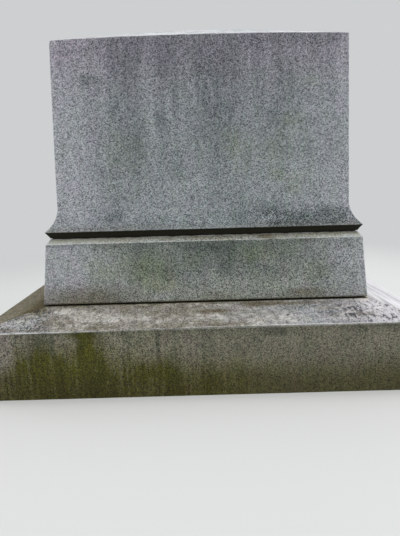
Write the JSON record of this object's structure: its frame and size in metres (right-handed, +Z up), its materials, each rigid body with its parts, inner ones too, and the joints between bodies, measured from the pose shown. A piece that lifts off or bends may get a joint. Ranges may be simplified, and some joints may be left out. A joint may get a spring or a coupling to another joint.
{
  "type": "granite family headstone",
  "caption": "Upright blank granite tablet with battered faces and a flared foot, bedded on a battered plinth and a wide base with a sloping wash.",
  "frame": {"origin": "centre of the underside of the base stone, at ground level", "axes": "+X along the face of the stone, to the right as seen from the front; +Y from the front to the back; +Z up"},
  "size_m": [1.822, 0.957, 1.4827],
  "materials": {
    "base_granite": "axed grey granite, stained by algae and lichen",
    "plinth_granite": "axed grey granite, weathered",
    "tablet_granite": "axed grey granite with rain streaks",
    "setting_compound": "dark, dirty setting compound in a recessed joint"
  },
  "bodies": {
    "root": {"base_stone": "base_granite", "plinth_joint": "setting_compound", "plinth_stone": "plinth_granite", "tablet_joint": "setting_compound", "tablet_stone": "tablet_granite"}
  },
  "joints": []
}
